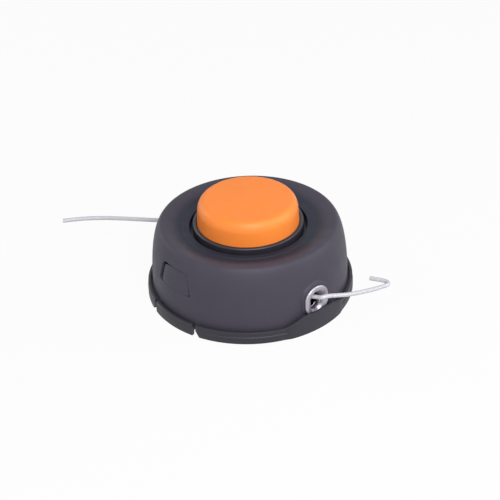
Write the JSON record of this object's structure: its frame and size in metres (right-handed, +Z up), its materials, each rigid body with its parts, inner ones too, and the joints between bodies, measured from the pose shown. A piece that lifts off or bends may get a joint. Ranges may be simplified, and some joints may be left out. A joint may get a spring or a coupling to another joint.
{
  "type": "string trimmer head",
  "caption": "Round bump-feed line trimmer head with a latched cover, a domed orange bump knob, metal line eyelets and two free line ends.",
  "frame": {"origin": "centre of the flange's resting face, on the head's own axis", "axes": "+Z up through the bump knob, away from the gearbox; line eyelets on +X and -X; cover latches near +Y and -Y"},
  "size_m": [0.2004, 0.13, 0.0641],
  "materials": {
    "housing_plastic": "satin moulded nylon",
    "cover_plastic": "satin moulded nylon",
    "spool_plastic": "satin moulded nylon",
    "knob_plastic": "satin moulded plastic",
    "eyelet_metal": "polished",
    "steel": "plated",
    "line_nylon": "translucent nylon"
  },
  "bodies": {
    "head": {"base_housing": "housing_plastic", "drive_nut": "steel", "cover": "cover_plastic", "eyelet_right": "eyelet_metal", "eyelet_left": "eyelet_metal", "spring_seat_washer": "steel", "spring": "steel", "line_tail_right": "line_nylon", "line_tail_left": "line_nylon"},
    "spring_plate": {"thrust_washer": "steel"},
    "spool": {"spool": "spool_plastic", "wound_line_lower": "line_nylon", "wound_line_upper": "line_nylon", "bump_knob": "knob_plastic"}
  },
  "joints": [
    {"name": "knob_press", "type": "slide", "parent": "head", "child": "spring_plate", "axis": [0, 0, 1], "range_m": [-0.006, 0], "stiffness_N_per_m": 2500, "springref_m": 0.01, "deforming": ["spring"]},
    {"name": "spool_turn", "type": "hinge", "parent": "spring_plate", "child": "spool", "pos_m": [0, 0, 0.0328], "axis": [0, 0, 1], "continuous": true}
  ]
}
